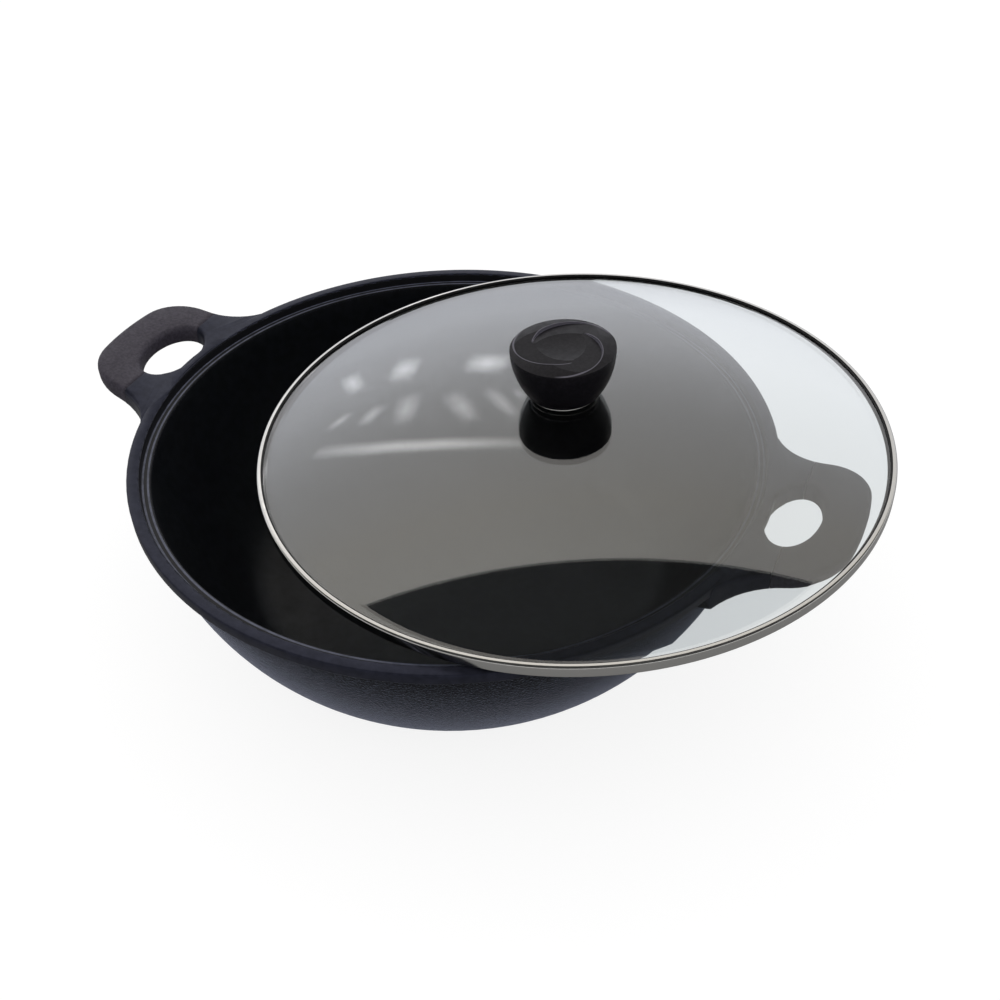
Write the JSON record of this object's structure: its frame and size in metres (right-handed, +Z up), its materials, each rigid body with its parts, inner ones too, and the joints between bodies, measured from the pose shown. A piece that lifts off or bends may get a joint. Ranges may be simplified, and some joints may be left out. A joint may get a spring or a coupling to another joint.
{
  "type": "wok",
  "caption": "Deep cast wok with a flat base, two open ears with moulded grips, and a domed glass lid with a knob that leans on the rim.",
  "frame": {"origin": "centre of the underside of the base, on the bowl's axis", "axes": "+Z up along the bowl's axis; +X through the ear that the lid leans on, -X through the other ear"},
  "size_m": [0.4379, 0.3481, 0.1647],
  "materials": {
    "coated_cast_aluminium": "die-cast aluminium under a black non-stick coating, satin on the rim and hammered outside",
    "grip_phenolic": "moulded phenolic, matt, slightly mottled",
    "knob_phenolic": "moulded phenolic, satin",
    "stainless_steel": "polished rolled stainless strip",
    "tempered_glass": "clear tempered soda-lime glass with a faint grey tint",
    "black_silicone": "moulded silicone, matt",
    "insert_brass": "turned brass"
  },
  "bodies": {
    "pan": {"pan_body": "coated_cast_aluminium", "grip_left": "grip_phenolic", "grip_right": "grip_phenolic", "grip_screws_left": "stainless_steel", "grip_screws_right": "stainless_steel"},
    "lid": {"lid_glass": "tempered_glass", "lid_band": "stainless_steel", "lid_seal": "black_silicone", "knob": "knob_phenolic", "knob_insert": "insert_brass", "knob_collar": "stainless_steel", "knob_gasket": "black_silicone", "glass_pad": "black_silicone", "knob_washer": "stainless_steel", "knob_screw": "stainless_steel"}
  },
  "joints": [
    {"name": "lid_lift", "type": "slide", "parent": "pan", "child": "lid", "axis": [0, 0, 1], "range_m": [0, 0.2]}
  ]
}
